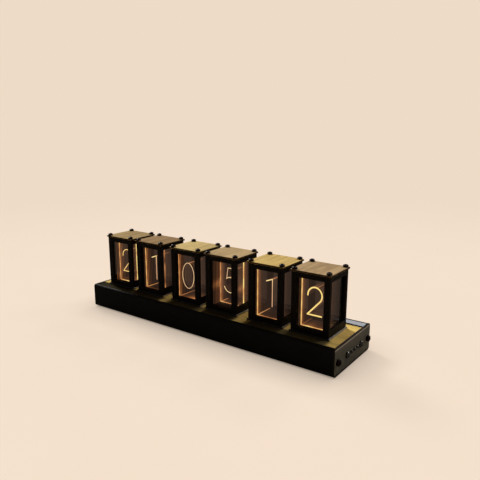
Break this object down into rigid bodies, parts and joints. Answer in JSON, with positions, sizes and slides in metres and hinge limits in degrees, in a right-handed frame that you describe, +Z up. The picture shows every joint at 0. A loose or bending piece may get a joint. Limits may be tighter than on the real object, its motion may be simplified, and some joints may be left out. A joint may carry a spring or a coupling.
{
  "type": "led desk clock",
  "caption": "Long low desk clock whose glazed lanterns each hold a stack of clear engraved plates, lit from the edge so that the time glows in thin amber digits; push buttons on the right end.",
  "frame": {"origin": "under the middle of the base, on the surface that the feet stand on", "axes": "+X along the base towards the end with the buttons, +Y to the rear, +Z up"},
  "size_m": [0.3036, 0.072, 0.0843],
  "materials": {
    "black_shell": "satin black",
    "deck_wood": "oiled light wood",
    "plate_wood": "oiled light wood",
    "trim_metal": "satin",
    "end_panel": "satin dark grey",
    "black_screw": "black oxide",
    "foot_rubber": "matt",
    "circuit_board": "solder mask",
    "chip_plastic": "matt",
    "bright_steel": "bright",
    "led_board": "white solder mask",
    "amber_light": "lit amber",
    "lantern_black": "satin black",
    "clear_pane": "clear, glossy",
    "clear_plate": "clear, glossy",
    "button_plastic": "glossy black"
  },
  "bodies": {
    "clock": {"base_shell": "black_shell", "deck": "deck_wood", "rear_trim": "trim_metal", "end_panel_right": "end_panel", "end_panel_left": "end_panel", "panel_screws": "black_screw", "feet": "foot_rubber", "main_board": "circuit_board", "board_chips": "chip_plastic", "backup_cell": "bright_steel", "power_socket": "bright_steel", "button_board": "circuit_board", "tact_switches": "chip_plastic", "cell_headers": "chip_plastic", "cell_screws": "bright_steel", "led_boards": "led_board", "edge_leds": "amber_light", "light_combs": "lantern_black", "top_screws": "black_screw", "foot_plate_1": "trim_metal", "lantern_frame_1": "lantern_black", "panes_1": "clear_pane", "digit_plates_1": "clear_plate", "top_plate_1": "plate_wood", "foot_plate_2": "trim_metal", "lantern_frame_2": "lantern_black", "panes_2": "clear_pane", "digit_plates_2": "clear_plate", "top_plate_2": "plate_wood", "foot_plate_3": "trim_metal", "lantern_frame_3": "lantern_black", "panes_3": "clear_pane", "digit_plates_3": "clear_plate", "top_plate_3": "plate_wood", "foot_plate_4": "trim_metal", "lantern_frame_4": "lantern_black", "panes_4": "clear_pane", "digit_plates_4": "clear_plate", "top_plate_4": "plate_wood", "foot_plate_5": "trim_metal", "lantern_frame_5": "lantern_black", "panes_5": "clear_pane", "digit_plates_5": "clear_plate", "top_plate_5": "plate_wood", "foot_plate_6": "trim_metal", "lantern_frame_6": "lantern_black", "panes_6": "clear_pane", "digit_plates_6": "clear_plate", "top_plate_6": "plate_wood"},
    "front_button": {"front_button": "button_plastic"},
    "small_button_1": {"small_button_1": "button_plastic"},
    "small_button_2": {"small_button_2": "button_plastic"},
    "small_button_3": {"small_button_3": "button_plastic"},
    "rear_button": {"rear_button": "button_plastic"}
  },
  "joints": [
    {"name": "front_button_press", "type": "slide", "parent": "clock", "child": "front_button", "axis": [-1, 0, 0], "range_m": [0, 0.0008], "stiffness_N_per_m": 600},
    {"name": "small_button_1_press", "type": "slide", "parent": "clock", "child": "small_button_1", "axis": [-1, 0, 0], "range_m": [0, 0.0008], "stiffness_N_per_m": 600},
    {"name": "small_button_2_press", "type": "slide", "parent": "clock", "child": "small_button_2", "axis": [-1, 0, 0], "range_m": [0, 0.0008], "stiffness_N_per_m": 600},
    {"name": "small_button_3_press", "type": "slide", "parent": "clock", "child": "small_button_3", "axis": [-1, 0, 0], "range_m": [0, 0.0008], "stiffness_N_per_m": 600},
    {"name": "rear_button_press", "type": "slide", "parent": "clock", "child": "rear_button", "axis": [-1, 0, 0], "range_m": [0, 0.0008], "stiffness_N_per_m": 600}
  ]
}
